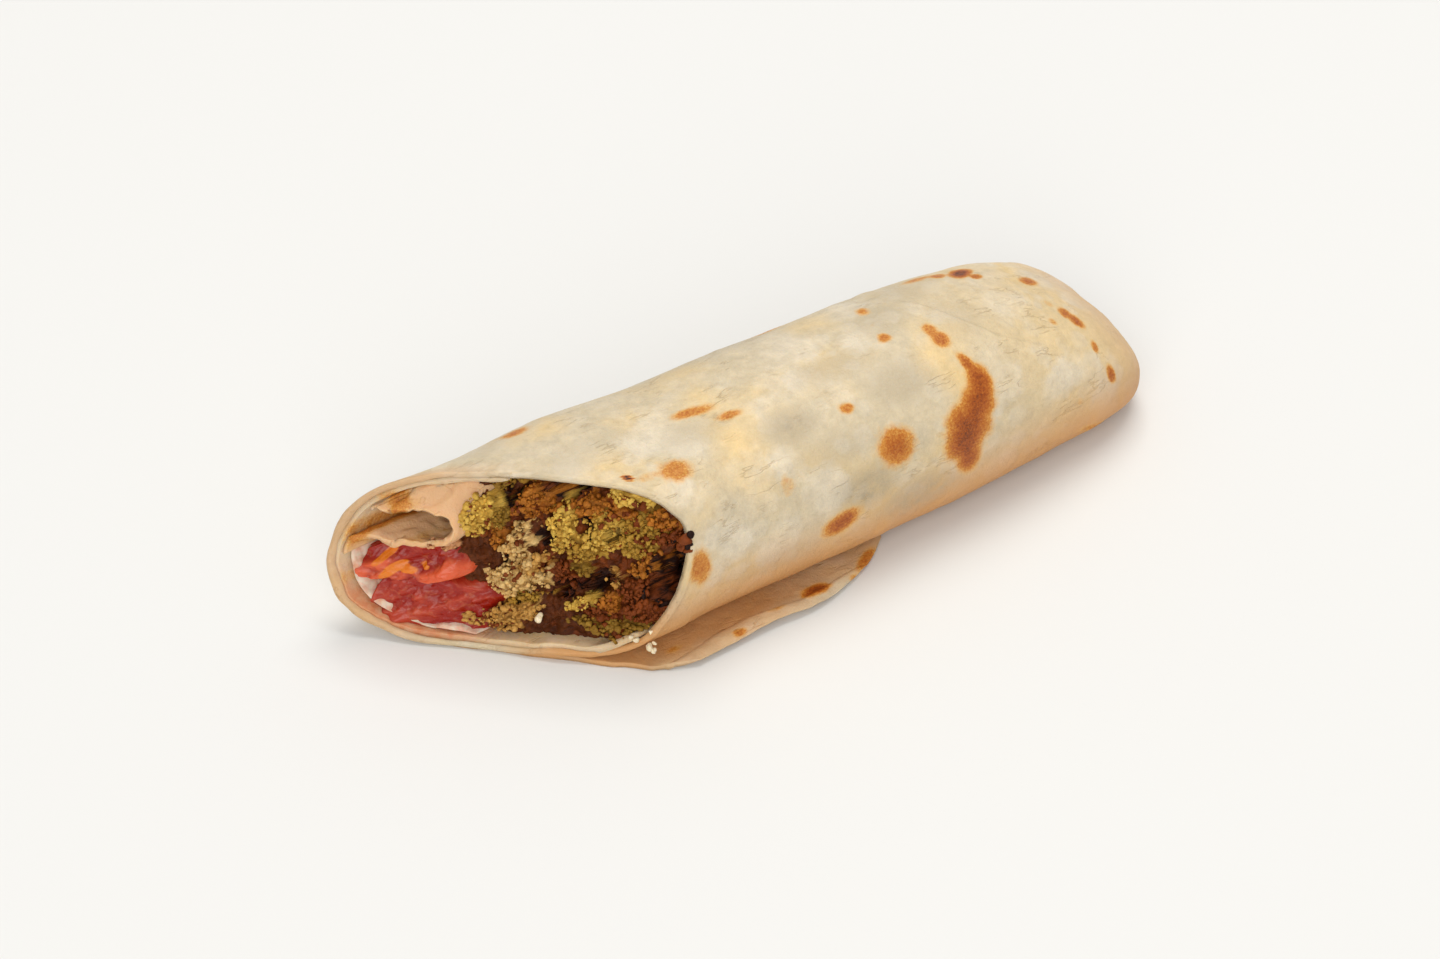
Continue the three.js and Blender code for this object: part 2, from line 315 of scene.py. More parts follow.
def flatbread_material(name, lit_through=0.15, tan="#CB945A"):
    """Thin flatbread of white wheat dough cooked on a dry griddle: cream and a little see-through,
    with round opaque floury patches, straw-coloured thin ones, a dull grey veil where the filling
    shows through, and brown griddle marks, grainy inside and orange round their edges.
    `lit_through` is the share of light that goes on inside it, and `tan` is the colour laid on by a per-point
    attribute: tan where the bread is cooked through, painted warm shade where it lies low on the roll and
    beside it on the loose end, and a painted glow of light through the sheet on the inner turns. The crust's
    own grain is finer than GRAIN_MM, and is drawn that coarse so that it shows."""
    material, tree, shader, place = new_material(name)
    drawn = add(tree, "Mapping", {"Vector": place, "Scale": (0.22, 1.0, 1.0)})
    clouds = [
        (place, FINE_MM, 3, 0.6), (place, GRAIN_MM, 3, 0.75), (place, SPECK_MM, 3, 0.6),
        (place, FLOURY_MM, 2, 0.5), (place, STRAW_MM, 2, 0.5), (drawn, WRINKLE_MM, 3, 0.6),
        (place, CREASED_MM, 3, 0.5),
    ]
    fine, grain, speck, floury_cloud, straw_cloud, wrinkle, creased = (
        add(tree, "TexNoise", {"Vector": at, "Scale": per_metre(mm), "Detail": detail, "Roughness": rough})
        for at, mm, detail, rough in clouds
    )
    toast, veil, stain, warm, golden = (
        add(tree, "Attribute", out="Fac", attribute_name=kept)
        for kept in ("toast", "veil", "stain", "warm", "golden")
    )

    bend = add(tree, "TexNoise", {"Vector": place, "Scale": per_metre(BEND_MM), "Detail": 2}, "Color")
    bent = add(tree, "VectorMath", [bend, (0.003, 0.003, 0.003), place], operation="MULTIPLY_ADD")
    big = floury_patches(tree, bent, BIG_PATCH_MM, fine)
    small = floury_patches(tree, bent, SMALL_PATCH_MM, fine)
    faint = add(tree, "Math", [small, 0.6], operation="MULTIPLY")
    either = add(tree, "Math", [big, faint], operation="MAXIMUM")
    where = add(tree, "MapRange", [floury_cloud, 0.4, 0.6, 0.15, 1.0])
    floury = add(tree, "Math", [either, where], operation="MULTIPLY")

    straw_patch = add(tree, "MapRange", [straw_cloud, 0.45, 0.68])
    straw = add(tree, "Math", [straw_patch, golden], operation="MAXIMUM")
    signed = add(tree, "Math", [wrinkle, 0.5], operation="SUBTRACT")
    off = add(tree, "Math", [signed], operation="ABSOLUTE")
    line = add(tree, "MapRange", [off, 0.022, 0.0])
    crowded = add(tree, "MapRange", [creased, 0.52, 0.62])
    creases = add(tree, "Math", [line, crowded], operation="MULTIPLY")

    strong_floury = add(tree, "Math", [floury, 0.8], operation="MULTIPLY")
    colour = layered(tree, linear(CREAM), [(straw, linear(STRAW)), (strong_floury, linear(FLOUR))])
    speckle = add(tree, "MapRange", [speck, 0.3, 0.7, 0.9, 1.09])
    graininess = add(tree, "MapRange", [grain, 0.25, 0.75, 0.95, 1.05])
    mottle = add(tree, "Math", [speckle, graininess], operation="MULTIPLY")
    mottled = add(tree, "VectorMath", {0: colour, "Scale": mottle}, operation="SCALE")
    # Painted shade along the creases.
    painted_crease_shade = add(tree, "Math", [creases, 0.4], operation="MULTIPLY")
    veiled = add(tree, "Math", [speck, veil], operation="MULTIPLY")
    through = add(tree, "MapRange", [veiled, 0.08, 0.62, 0.0, 0.8])
    uneven = add(tree, "MapRange", [speck, 0.3, 0.6, 0.45, 1.0])
    stained = add(tree, "Math", [stain, uneven], operation="MULTIPLY")

    lowered = add(tree, "Math", [toast, -0.17], operation="ADD")
    frayed = add(tree, "Math", [speck, 0.34, lowered], operation="MULTIPLY_ADD")
    frayed = add(tree, "Math", [frayed, -0.08], operation="ADD")
    edge = add(tree, "Math", [fine, 0.16, frayed], operation="MULTIPLY_ADD")
    baked = add(tree, "Math", [edge, -0.7], operation="ADD")
    baked = add(tree, "Math", [grain, 1.4, baked], operation="MULTIPLY_ADD")
    baked = add(tree, "Math", [baked, 0.7], operation="MULTIPLY")
    brown = add(tree, "ValToRGB", [baked], stops=TOASTING)
    toasted = add(tree, "MapRange", [edge, 0.06, 0.36])
    colour = layered(tree, mottled, [
        # The tan layer carries painted warm shade and painted glow as well as real tan.
        (painted_crease_shade, linear(CREASE_SHADE)), (warm, linear(tan)), (through, linear(VEIL)),
        (stained, linear(STAIN)), (toasted, brown),
    ])

    height = add(tree, "Math", [speck, 1.6, fine], operation="MULTIPLY_ADD")
    for part, share in [(floury, 1.2), (grain, 0.6), (creases, -0.8)]:
        height = add(tree, "Math", [part, share, height], operation="MULTIPLY_ADD")
    relief = add(tree, "Bump", {"Height": height, "Strength": 0.6, "Distance": 0.25 * MM})
    tree.links.new(colour, shader.inputs["Base Color"])
    tree.links.new(relief, shader.inputs["Normal"])
    shader.inputs["Roughness"].default_value = 0.5
    shader.inputs["IOR"].default_value = 1.45
    shader.inputs["Specular IOR Level"].default_value = 0.4
    shader.inputs["Subsurface Weight"].default_value = lit_through
    shader.inputs["Subsurface Radius"].default_value = (1.0, 0.7, 0.4)
    shader.inputs["Subsurface Scale"].default_value = 2.0 * MM
    return material


def crumb_material():
    """Crumbled chickpea and herb paste, fried: matt grains with a little oil, each crumb its own
    colour, speckled finer than a crumb."""
    material, tree, shader, place = new_material("crushed_falafel")
    fine = add(tree, "TexNoise", {"Vector": place, "Scale": per_metre(0.8), "Detail": 4, "Roughness": 0.65})
    shade = add(tree, "MapRange", [fine, 0.3, 0.7, 0.75, 1.25])
    tint = add(tree, "Attribute", out="Color", attribute_name="tint")
    speckled = add(tree, "VectorMath", {0: tint, "Scale": shade}, operation="SCALE")
    relief = add(tree, "Bump", {"Height": fine, "Strength": 0.5, "Distance": 0.25 * MM})
    tree.links.new(speckled, shader.inputs["Base Color"])
    tree.links.new(relief, shader.inputs["Normal"])
    shader.inputs["Roughness"].default_value = 0.6
    shader.inputs["Specular IOR Level"].default_value = 0.18
    shader.inputs["Subsurface Weight"].default_value = 0.12
    shader.inputs["Subsurface Radius"].default_value = (1.0, 0.6, 0.25)
    shader.inputs["Subsurface Scale"].default_value = 0.8 * MM
    return material


def tomato_material():
    """Wet ripe tomato flesh: red, paler and stringy where the juice has run out, glossy."""
    material, tree, shader, place = new_material("ripe_tomato_flesh")
    along = {"Vector": place, "Rotation": (0.5, 0.2, 0.0), "Scale": (1.0, 0.4, 1.5)}
    drawn = add(tree, "Mapping", along)
    strings = {"Vector": drawn, "Scale": per_metre(2.2), "Detail": 4, "Roughness": 0.6, "Distortion": 0.6}
    fibre = add(tree, "TexNoise", strings)
    pale = add(tree, "MapRange", [fibre, 0.54, 0.78, 0.0, 0.5])
    tint = add(tree, "Attribute", out="Color", attribute_name="tint")
    colour = layered(tree, tint, [(pale, linear("#D07850"))])
    relief = add(tree, "Bump", {"Height": fibre, "Strength": 0.6, "Distance": 0.5 * MM})
    tree.links.new(colour, shader.inputs["Base Color"])
    tree.links.new(relief, shader.inputs["Normal"])
    shader.inputs["Roughness"].default_value = 0.26
    shader.inputs["IOR"].default_value = 1.37
    shader.inputs["Coat Weight"].default_value = 0.12
    shader.inputs["Coat Roughness"].default_value = 0.12
    shader.inputs["Subsurface Weight"].default_value = 0.25
    shader.inputs["Subsurface Radius"].default_value = (1.0, 0.3, 0.15)
    shader.inputs["Subsurface Scale"].default_value = 1.5 * MM
    return material


def sauce_material():
    """White yoghurt sauce, pinkish where tomato juice has run in: soft, wet and smooth."""
    material, tree, shader, place = new_material("white_yoghurt_sauce")
    stirred = add(tree, "TexNoise", {"Vector": place, "Scale": per_metre(2.6), "Detail": 3, "Roughness": 0.5})
    pink = add(tree, "MapRange", [stirred, 0.4, 0.65])
    colour = layered(tree, linear("#E2CDB8"), [(pink, linear("#D49A7C"))])
    relief = add(tree, "Bump", {"Height": stirred, "Strength": 0.5, "Distance": 0.5 * MM})
    tree.links.new(colour, shader.inputs["Base Color"])
    tree.links.new(relief, shader.inputs["Normal"])
    shader.inputs["Roughness"].default_value = 0.35
    shader.inputs["IOR"].default_value = 1.36
    shader.inputs["Subsurface Weight"].default_value = 0.2
    shader.inputs["Subsurface Scale"].default_value = 1.5 * MM
    return material


# ---------------------------------------------------------------- the roll's form

def round_off(x, start, end, late, blunt):
    """1 up to start, then rounding down to 0 at end, like a quarter of a superellipse."""
    share = np.clip((x - start) / (end - start), 0, 1)
    return (1 - share**late) ** (1 / blunt)


def roll_at(x):
    """Half width, half height and centre (y, z) of the roll at x."""
    along = np.clip((x - ROLL_START_X) / (TAIL_X - ROLL_START_X), 0, 1)
    lump = LUMP * np.cos(2 * np.pi * x / LUMP_PITCH) * (1 - along)
    taper = WIDE - WIDTH_LOSS * ((x - CUT_X) / (SHOULDER_X - CUT_X))
    a = taper * round_off(x, SHOULDER_X, TAIL_X, WIDTH_LATE, WIDTH_BLUNT) + lump
    b = TALL * round_off(x, TOP_FALL_X, TAIL_X, TOP_LATE, TOP_BLUNT) + lump
    tip = np.clip((x - SHOULDER_X) / (TAIL_X - SHOULDER_X), 0, 1)
    bow = np.sin(np.pi * (x - BOW_FROM_X) / BOW_LENGTH) ** 2
    y = AXIS_Y - BOW * bow - TAIL_LEAN * tip**6
    z = (b**4 + TAIL_TIP_Z**4) ** 0.25
    return a, b, y, z


def roll_section(x, angle, inset):
    """A superellipse round the roll, squarer on the -Y side, drawn in by inset. Near the cut the
    filling pushes the -Y side out a little, high up most of all."""
    a, b, y, z = roll_at(x)
    c, s = np.cos(angle), np.sin(angle)
    pushed = smooth(-x, *PUSH_SPAN) * np.maximum(-c, 0)
    low, high = 2 * np.maximum(-s, 0), 2 * np.maximum(s, 0)
    squarer = low * np.maximum(-c, 0) + HIGH_SQUARE * smooth(high * pushed, 0, 0.7)
    power = 2 / (SECTION_POWER + squarer)
    across = y + (np.maximum(a - inset, 0.02) + PUSH * pushed) * signed_power(c, power)
    up = z + np.maximum(b - inset, 0.02) * signed_power(s, power) - FLATTEN
    return across, up


def cut_x(y, z):
    """Where the knife's slanted plane passes."""
    return CUT_X - CUT_SLANT * y + CUT_LEAN * z


CUT_NORMAL = np.array([1.0, CUT_SLANT, -CUT_LEAN]) / np.sqrt(1 + CUT_SLANT**2 + CUT_LEAN**2)


def even_angles(count):
    """Angles that share out the way round the roll evenly, from the +Y side over the top."""
    fine = np.linspace(0, 2 * np.pi, 4001)
    y, z = roll_section(np.zeros_like(fine), fine, 0.0)
    way = np.concatenate([[0], np.cumsum(np.hypot(np.diff(y), np.diff(z)))])
    return np.interp(np.linspace(0, way[-1], count, endpoint=False), way, fine)


def on_roll(share, angle, inset, lip=0.0, crowd=1.35):
    """A point of the skin: share runs from 0 at the cut to 1 at the tail's tip, closer together
    towards the tip. x depends on y and z at the slanted cut, so it is settled by repeating."""
    x = CUT_X + share * (TAIL_X - CUT_X)
    for _ in range(30):
        y, z = roll_section(x, angle, inset)
        start = cut_x(y, z) + lip
        x = start + (TAIL_X - start) * (1 - (1 - share) ** crowd)
    return np.stack(np.broadcast_arrays(x, y, z), axis=-1)


def reach(y, z, x, margin):
    """How far (y, z) lies from the roll's axis: 1 where it is the margin away from the skin."""
    a, b, cy, cz = roll_at(x)
    near = (y < cy) * smooth(-x, *INNER_PUSH_SPAN)
    power = SECTION_POWER + INNER_SQUARE * near
    across = np.abs((y - cy) / (a - margin + PUSH * near))
    return (across**power + np.abs((z + FLATTEN - cz) / (b - margin)) ** power) ** (1 / power)


def keep_inside(y, z, x, margin):
    """Draws (y, z) towards the roll's axis where it would come nearer the skin than the margin."""
    _, _, cy, cz = roll_at(x)
    scale = 1 / np.maximum(reach(y, z, x, margin), 1)
    return cy + (y - cy) * scale, cz + (z + FLATTEN - cz) * scale - FLATTEN


def settle(points, thick):
    """Lets the skin rest on the board, and on the loose end where that lies under it."""
    under = SHEET * smooth(-points[..., 1], 3, 10) * smooth(-points[..., 0], -20, -13)
    points[..., 2] = np.maximum(points[..., 2], 0.02 + under + thick)
    return points


# ---------------------------------------------------------------- griddle marks

# x, way round, half length along the roll, half length round it, turn in degrees, darkness.
MARKS = [
    (39.2, 15.8, 1.4, 3.4, -14, 0.8), (39.9, 20.0, 2.9, 4.2, 6, 0.95), (38.0, 23.8, 4.1, 4.2, 20, 0.95),
    (34.8, 27.4, 5.6, 4.6, 30, 0.95), (33.2, 31.0, 4.8, 4.8, 0, 1.0), (34.2, 35.4, 3.0, 4.0, 0, 0.9),
    (17.0, 25.8, 4.4, 4.4, 0, 0.72), (2.3, 39.0, 4.6, 2.6, -14, 0.9), (-29.6, 13.4, 3.7, 3.2, 0, 0.5),
    (-35.0, 12.6, 4.0, 1.3, 5, 0.24), (-31.9, 36.6, 3.0, 4.8, -6, 0.55), (-9.0, 24.7, 1.8, 2.5, 0, 0.26),
    (10.1, 14.5, 1.6, 1.3, 0, 0.6), (27.3, 2.2, 1.5, 1.5, 0, 0.62), (36.7, 5.2, 1.6, 2.2, 0, 0.55),
    (37.2, 8.3, 2.0, 2.2, 20, 0.72), (-17.6, 0.3, 4.8, 1.6, 8, 0.55), (-12.0, 5.2, 2.9, 1.3, 5, 0.5),
    (29.0, -7.6, 1.5, 1.8, 0, 0.42), (57.0, -11.0, 3.2, 2.2, -25, 1.25), (58.9, -7.9, 1.5, 1.3, 0, 0.7),
    (51.9, -12.2, 2.0, 1.7, 0, 0.6), (47.6, -13.8, 4.2, 1.8, 0, 0.46), (69.4, -3.2, 2.3, 2.0, -20, 0.68),
    (70.2, 8.4, 1.5, 2.0, 20, 0.72), (71.4, 11.0, 1.5, 2.2, -10, 0.78), (68.3, 5.2, 1.1, 1.4, 0, 0.25),
    (65.2, 10.8, 1.0, 1.1, 0, 0.34), (71.7, 17.9, 0.9, 1.6, 15, 0.6), (73.6, 24.2, 1.3, 2.2, 0, 0.85),
    (71.9, 39.0, 6.0, 1.7, 0, 0.5), (-39.3, 10.9, 0.6, 1.0, 0, 2.2), (64.3, 30.4, 1.0, 1.6, 0, 0.16),
    (12.0, -22.0, 5.0, 3.4, 10, 0.7), (-22.0, -26.0, 4.0, 3.2, 0, 0.6), (40.0, -30.0, 3.8, 4.6, 0, 0.75),
    (-48.0, -18.0, 3.0, 2.4, 20, 0.6), (62.0, -26.0, 2.4, 2.2, 0, 0.6), (-6.0, -38.0, 4.4, 2.8, 0, 0.7),
    (24.0, -44.0, 3.0, 2.8, 0, 0.6), (-60.0, -34.0, 2.6, 3.6, 0, 0.6), (20.0, 62.0, 5.0, 4.2, 0, 0.7),
    (-25.0, 66.0, 4.0, 3.2, 0, 0.6), (52.0, 58.0, 3.0, 3.6, 0, 0.6),
]
# The same six numbers where the filling shows through the thin sheet as a dull grey veil.
VEILS = [
    (-3.1, 13.4, 7, 5, 0, 0.9), (23.6, 13.3, 9, 6, 0, 0.7),
    (9.1, 32.8, 9, 6, 0, 1.0), (4.0, 22.0, 12, 5, 0, 0.5),
    (-20.0, 6.0, 10, 5, 0, 0.5), (14.0, 4.0, 12, 5, 0, 0.55),
    (-45.0, 0.0, 14, 6, 0, 0.4), (44.0, 4.0, 8, 8, 0, 0.4),
    (-14.0, 42.0, 14, 4, 0, 0.4), (22.0, 40.0, 12, 6, 0, 0.8),
    (0.0, -20.0, 30, 8, 0, 0.6), (30.0, -4.0, 8, 7, 0, 0.6),
    (40.0, -12.0, 12, 8, 0, 0.5), (-50.0, -20.0, 16, 8, 0, 0.5),
]
FLAP_MARKS = [
    (-4.0, -24.4, 3.4, 1.8, 0, 1.05), (-24.0, -26.2, 1.6, 1.0, 0, 0.6), (10.0, -22.6, 4.6, 1.6, 30, 0.6),
    (-37.0, -22.0, 2.0, 1.0, 0, 0.4), (5.0, -25.6, 1.6, 1.0, 0, 0.4), (-14.0, -25.0, 2.2, 0.8, 0, 0.3),
]
# On the inner turn: y, z, half lengths, turn, darkness.
LAP_MARKS = [
    (23.2, 22.2, 1.8, 3.4, 0, 0.5), (19.4, 30.0, 3.2, 1.6, 15, 0.55), (18.6, 27.8, 1.4, 1.0, 0, 0.65),
    (23.5, 12.0, 1.0, 2.0, 0, 0.25), (15.5, 21.6, 1.5, 0.7, 0, 0.25),
]


def field(across, along, marks):
    """How deep each place lies in a list of ellipses: strength * e^(-1.2 r^3), where r is 1 on the
    ellipse. Marks that touch run together, as the fourth powers are added up."""
    total = np.zeros(across.shape)
    for centre_a, centre_b, half_a, half_b, turn, strength in marks:
        c, s = np.cos(np.radians(turn)), np.sin(np.radians(turn))
        da, db = across - centre_a, along - centre_b
        r = np.hypot((da * c + db * s) / half_a, (db * c - da * s) / half_b)
        total += (strength * np.exp(-1.2 * r**3)) ** 4
    return total**0.25


def way_round(points, angles):
    """How far round the skin each point lies from the ridge, seen along X, growing towards -Y."""
    steps = np.linalg.norm(np.diff(points[..., 1:], axis=1), axis=-1)
    way = np.concatenate([np.zeros((len(points), 1)), np.cumsum(steps, axis=1)], axis=1)
    top = np.argmin(np.abs(angles - np.pi / 2))
    return way - way[:, top : top + 1]


def flat(values):
    """A value at each ring point in one row, followed by the means of the end rings."""
    return np.concatenate([values.ravel(), [values[0].mean(), values[-1].mean()]])


# ---------------------------------------------------------------- the bread

def bread_relief(points, way):
    """How far the skin stands off its smooth form: soft waves, blisters, wrinkles that run along the
    roll, and the step where the sheet's side laps over, from the far side towards the tail."""
    soft = 0.30 * noise(points, 26, 3, 2) + 0.18 * noise(points, 7, 5, 3)
    blister = 0.28 * smooth(noise(points, 7, 11), 0.3, 0.7)
    drawn = points * [0.2, 1.0, 1.0]
    wrinkle = 0.10 * noise(drawn, 3.2, 21, 2) + 0.2 * noise(drawn, 6, 23) * smooth(points[..., 0], 30, 70)
    lap_way = np.interp(points[..., 0], [28, 39, 45, 50, 60], [-12, -4.7, 4.9, 11.4, 17])
    lap = smooth(way - lap_way, -0.25, 0.25)
    near_lap = smooth(points[..., 0], 28, 34) * smooth(-points[..., 0], -63, -55)
    return soft + blister + wrinkle + 0.5 * (lap - 0.5) * near_lap - 0.45


def bread_roll(material):
    """The outer turn of the sheet as one closed sock: up the inside from a blind end to the cut,
    over the rim, and back along the outside to the folded tail."""
    columns, outer_rows, inner_rows = 270, 300, 30
    angles = even_angles(columns)[None, :]
    share = np.linspace(0, 1, outer_rows + 1)[:-1, None]
    inner_share = np.linspace(0.42, 0.0, inner_rows, endpoint=False)[:, None]
    rim = np.stack([np.cos(angles[0]), np.sin(angles[0]), np.zeros(columns)], -1)
    lip = 0.9 * noise(rim * 12, 4, 31, 3)[None, :]
    at_cut = np.zeros((1, 1))
    inner = settle(on_roll(inner_share, angles, SHEET, lip, 1.0), SHEET)
    edge_in = settle(on_roll(at_cut, angles, SHEET, lip, 1.0), SHEET)
    edge = settle(on_roll(at_cut, angles, SHEET / 2, lip - 0.22, 1.0), SHEET / 2)
    outer = settle(on_roll(share, angles, 0.0, lip * (1 - share) ** 8), 0.0)
    rings = np.concatenate([inner, edge_in, edge, outer])
    way = way_round(rings, angles[0])
    outside = (np.arange(len(rings)) >= inner_rows + 2)[:, None]
    push = np.where(outside, 1.0, -1.0) * bread_relief(rings, way)
    rings = settle(rings + surface_normals(rings) * push[..., None], 0.0)
    toast = field(rings[..., 0], way, MARKS) * outside
    veil = field(rings[..., 0], way, VEILS)
    behind = rings[..., 0] - cut_x(rings[..., 1], rings[..., 2])
    # Tan laid on per point: painted warm shade low on the -Y side, then tan towards the tail and in a band
    # along the cut on the +Y side.
    warm = 0.95 * smooth(-rings[..., 2], -24, -5) * smooth(-rings[..., 1], -2, 12)
    warm = np.maximum(warm, 0.5 * smooth(rings[..., 0], 68, 88))
    warm = np.maximum(warm, 0.55 * smooth(-behind, -7, 0) * smooth(rings[..., 1], 2, 18))
    golden = 0.7 * smooth(rings[..., 0], 30, 70)
    return piece(
        "bread_roll", with_poles(rings), ring_faces(*rings.shape[:2]), material, "flatbread",
        ["flatbread"],
        toast=flat(toast), veil=flat(veil), stain=flat(0 * veil), warm=flat(warm), golden=flat(golden),
    )


def flap_edge(x):
    """How far out the loose end's free edge lies at x."""
    retreat = np.clip((x - FLAP_RETREAT_X) / (FLAP_END_X - FLAP_RETREAT_X), 0, 1)
    wave = 0.3 * np.sin(x / 6.1) + 0.25 * np.sin(x / 2.7 + 1)
    return FLAP_EDGE_Y + wave + FLAP_RETREAT * retreat**1.8 - 0.8 * smooth(-x, 22, 32)


def bread_flap(material):
    """The loose outer end: a strip of sheet that comes out from under the roll, lies nearly flat
    and ends in a thin wavy edge that lifts here and there."""
    rows, columns = 170, 90
    q = np.linspace(1, 0, columns)[None, :]
    share = np.linspace(0, 1, rows)[:, None]
    x = np.full((rows, columns), cut_x(FLAP_ROOT_Y, 0)) + share * (FLAP_END_X - cut_x(FLAP_ROOT_Y, 0))
    for _ in range(12):
        y = FLAP_ROOT_Y + (flap_edge(x) + 0.1 - FLAP_ROOT_Y) * q
        torn = 0.6 * noise(np.stack([y, 0 * y, 0 * y], -1), 3, 41, 2)
        start = cut_x(y, 0.6) + torn + FLAP_CORNER * np.clip((FLAP_CORNER_Y - y) / 4.6, 0, 1) ** 1.2
        x = start + share * (FLAP_END_X - start)
    spot = np.stack([x, y, np.zeros_like(x)], -1)
    out = smooth(-y, 18, 27)
    lift = out * (0.45 + 0.5 * noise(spot, 13, 43) + 0.45 * noise(spot, 4, 45, 2))
    fold = 0.5 * smooth(-y + 0.8 * np.sin(x / 5), 24.2, 24.8) * smooth(x, -62, -50)
    z = SHEET / 2 + 0.05 + np.maximum(lift, 0) + fold
    thick = SHEET * (1 - 0.5 * smooth(q, 0.93, 1.0))
    rings, faces = sheet_strip(np.stack([x, y, z], -1), thick[..., None])
    rings[..., 2] = np.maximum(rings[..., 2], 0.03)
    toast = field(rings[..., 0], rings[..., 1], FLAP_MARKS)
    veil = (0.1 + 0.35 * noise(rings, 6, 49)).ravel()
    # Painted warm shade near the roll, less towards the free edge and towards the far end.
    warm = 0.9 - 0.4 * smooth(-rings[..., 1], 22, 26) - 0.4 * smooth(rings[..., 0], -18, 4)
    return piece(
        "bread_flap", rings.reshape(-1, 3), faces, material, "flatbread",
        toast=toast.ravel(), veil=veil, stain=0 * veil, warm=warm.ravel(),
    )


# Shares of the roll's half width and height: under the filling, up the +Y wall and over to the ridge.
LAP_PATH = [
    (-0.84, -0.62), (-0.64, -0.82), (-0.3, -0.86), (0.1, -0.87), (0.42, -0.84), (0.68, -0.7),
    (0.84, -0.48), (0.915, -0.22), (0.93, 0.0), (0.905, 0.27), (0.82, 0.5), (0.64, 0.715),
    (0.4, 0.845), (0.15, 0.9),
]
# From the wall inwards, round and back: the sheet's end, folded on itself as a flat tube.
FOLD_PATH = [
    (0.89, -0.1), (0.87, 0.04), (0.78, 0.11), (0.63, 0.06), (0.5, 0.08), (0.39, 0.16),
    (0.34, 0.27), (0.38, 0.39), (0.48, 0.45), (0.6, 0.42), (0.72, 0.38), (0.82, 0.38),
]
# On top of the inner turn, from the floor up the +Y wall.
SAUCE_PATH = [(0.04, -0.77), (0.34, -0.75), (0.6, -0.62), (0.75, -0.43), (0.83, -0.2), (0.85, -0.06)]
# How far in from the cut each goes.
LAP_DEPTH, FOLD_DEPTH, SAUCE_DEPTH = 46, 40, 9


def follow(path, count):
    """Points evenly spaced along a smooth curve through a path, by a Catmull-Rom spline."""
    path = np.array(path)
    ends = np.concatenate([[2 * path[0] - path[1]], path, [2 * path[-1] - path[-2]]])
    t = np.linspace(0, len(path) - 1, 40 * len(path))
    i = np.minimum(t.astype(int), len(path) - 2)
    f = (t - i)[:, None]
    p0, p1, p2, p3 = (ends[i + k] for k in range(4))
    bend = (2 * p0 - 5 * p1 + 4 * p2 - p3) * f**2 + (3 * p1 - p0 - 3 * p2 + p3) * f**3
    curve = 0.5 * (2 * p1 + (p2 - p0) * f + bend)
    way = np.concatenate([[0], np.cumsum(np.linalg.norm(np.diff(curve, axis=0), axis=1))])
    even = np.linspace(0, way[-1], count)
    return np.stack([np.interp(even, way, curve[:, axis]) for axis in (0, 1)], -1)


def lap_grid(path, depth, lip):
    """The path carried into the roll: depth behind the cut, and lip for the ragged edge."""
    p, q = path[None, :, 0], path[None, :, 1]
    x = np.full((len(depth), len(path)), CUT_X)
    for _ in range(20):
        a, b, cy, cz = roll_at(x)
        y, z = cy + a * p, cz + b * q - FLATTEN
        x = cut_x(y, z) + lip + depth
    return np.stack([x, y, z], -1)


def strip_piece(name, material, rings, faces, stain, warm):
    """A strip of the sheet's inside, with its brown marks and its dull veil."""
    toast = field(rings[..., 1], rings[..., 2], LAP_MARKS).ravel()
    veil = (0.15 + 0.3 * noise(rings, 7, 55)).ravel()
    points = rings.reshape(-1, 3)
    return piece(
        name, points, faces, material, "flatbread",
        toast=toast, veil=veil, stain=stain, warm=warm + 0 * veil,
    )


def bread_lap(material):
    """The sheet's second turn, inside the first: along the floor, up the +Y wall and over to the
    ridge. It is a strip carried into the roll from the cut, stained by tomato low on the +Y side."""
    rows, columns = 60, 230
    path = follow(LAP_PATH, columns)
    depth = LAP_DEPTH * np.linspace(0, 1, rows)[:, None] ** 1.4
    spot = np.stack([path[:, 0] * 25, path[:, 1] * 20, np.zeros(columns)], -1)[None]
    middle = lap_grid(path, depth, 0.1 + 0.7 * noise(spot, 4, 51, 2))
    thick = 1.6 + 0.25 * noise(spot, 3, 56, 2) - 0.5 * smooth(np.arange(columns)[None, :], 150, 200)
    rings, faces = sheet_strip(settle(middle, SHEET * 1.55), thick[..., None])
    stain = smooth(-rings[..., 2] + 2 * noise(rings, 4, 57, 2), -19, -7) * smooth(rings[..., 1], -2, 6)
    # The inner turn takes a little of the inner material's bright tan: a painted glow of light through the
    # sheet.
    return strip_piece("bread_lap", material, rings, faces, stain.ravel(), 0.3)


def bread_fold(material):
    """The sheet's end, turned in from the +Y wall and folded back. A little way in, its upper side
    climbs to the roof, so that its inner face shows from the cut."""
    rows, columns = 60, 130
    path = follow(FOLD_PATH, columns)
    depth = FOLD_DEPTH * np.linspace(0, 1, rows)[:, None] ** 1.4
    inward = np.linspace(0, 1, columns)[None, :]
    rise = 8.5 * smooth(inward, 0.5, 0.75) * smooth(depth, -2, 13)
    spot = np.stack([path[:, 0] * 25, path[:, 1] * 20, np.zeros(columns)], -1)[None]
    middle = lap_grid(path, depth, -0.4 + 0.9 * noise(spot, 4, 52, 2) + 0.5 * noise(spot, 1.5, 58))
    waves = (0.8 * noise(middle, 4.5, 53, 2) + 0.4 * noise(middle, 1.6, 54, 2)) * smooth(inward, 0.05, 0.3)
    y, z = middle[..., 1] + waves - 0.25 * rise, middle[..., 2] + waves + rise
    middle[..., 1], middle[..., 2] = keep_inside(y, z, middle[..., 0], 3.2)
    thick = 1.2 + 0.5 * noise(spot, 2.5, 59, 2)
    rings, faces = sheet_strip(middle, thick[..., None])
    # The fold takes much of the inner material's bright tan: a painted glow of light through the sheet, where
    # it lies in shade.
    return strip_piece("bread_fold", material, rings, faces, 0.1 + 0 * rings[..., 0].ravel(), 0.7)


